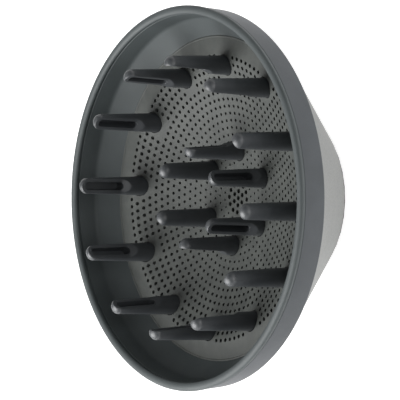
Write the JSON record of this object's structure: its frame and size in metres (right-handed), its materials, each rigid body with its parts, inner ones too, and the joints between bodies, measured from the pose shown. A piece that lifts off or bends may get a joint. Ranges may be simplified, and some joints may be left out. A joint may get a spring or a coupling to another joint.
{
  "type": "hair dryer diffuser",
  "caption": "Round bowl diffuser for a hair dryer: conical shell, dished perforated plate, two rings of slotted hollow air fingers and a magnetic docking collar.",
  "frame": {"origin": "centre of the docking collar's rear face, the face that meets the dryer and that the part rests on", "axes": "+Z along the round axis, out of the bowl's mouth; +X through the middle of one outer finger and one inner finger"},
  "size_m": [0.16, 0.16, 0.0697],
  "materials": {
    "shell_paint": "satin silver-grey paint on moulded plastic",
    "rim_plastic": "fine matt moulded plastic, blue-grey",
    "bowl_plastic": "fine matt moulded plastic, dark grey",
    "plate_plastic": "matt grey, perforated",
    "finger_plastic": "near-black satin moulded plastic",
    "frame_plastic": "black glass-filled nylon",
    "liner_plastic": "heat-resistant dark moulded plastic",
    "seal_rubber": "black silicone",
    "magnet_nickel": "nickel-plated magnet",
    "screw_steel": "zinc-plated steel"
  },
  "bodies": {
    "root": {"outer_shell": "shell_paint", "rim_band": "rim_plastic", "inner_bowl": "bowl_plastic", "diffuser_plate": "plate_plastic", "outer_finger_01": "finger_plastic", "outer_finger_02": "finger_plastic", "outer_finger_03": "finger_plastic", "outer_finger_04": "finger_plastic", "outer_finger_05": "finger_plastic", "outer_finger_06": "finger_plastic", "outer_finger_07": "finger_plastic", "outer_finger_08": "finger_plastic", "outer_finger_09": "finger_plastic", "outer_finger_10": "finger_plastic", "outer_finger_11": "finger_plastic", "outer_finger_12": "finger_plastic", "inner_finger_01": "finger_plastic", "inner_finger_02": "finger_plastic", "inner_finger_03": "finger_plastic", "inner_finger_04": "finger_plastic", "inner_finger_05": "finger_plastic", "inner_finger_06": "finger_plastic", "finger_spider": "frame_plastic", "duct_liner": "liner_plastic", "flow_spreader": "liner_plastic", "docking_collar": "frame_plastic", "inlet_seal": "seal_rubber", "magnet_cover": "frame_plastic", "magnet_1": "magnet_nickel", "magnet_2": "magnet_nickel", "magnet_3": "magnet_nickel", "magnet_4": "magnet_nickel", "magnet_5": "magnet_nickel", "magnet_6": "magnet_nickel", "magnet_7": "magnet_nickel", "magnet_8": "magnet_nickel", "spider_screw_1": "screw_steel", "spider_screw_2": "screw_steel", "spider_screw_3": "screw_steel", "spider_screw_4": "screw_steel", "spider_screw_5": "screw_steel", "spider_screw_6": "screw_steel", "collar_screw_1": "screw_steel", "collar_screw_2": "screw_steel", "collar_screw_3": "screw_steel", "collar_screw_4": "screw_steel"}
  },
  "joints": []
}
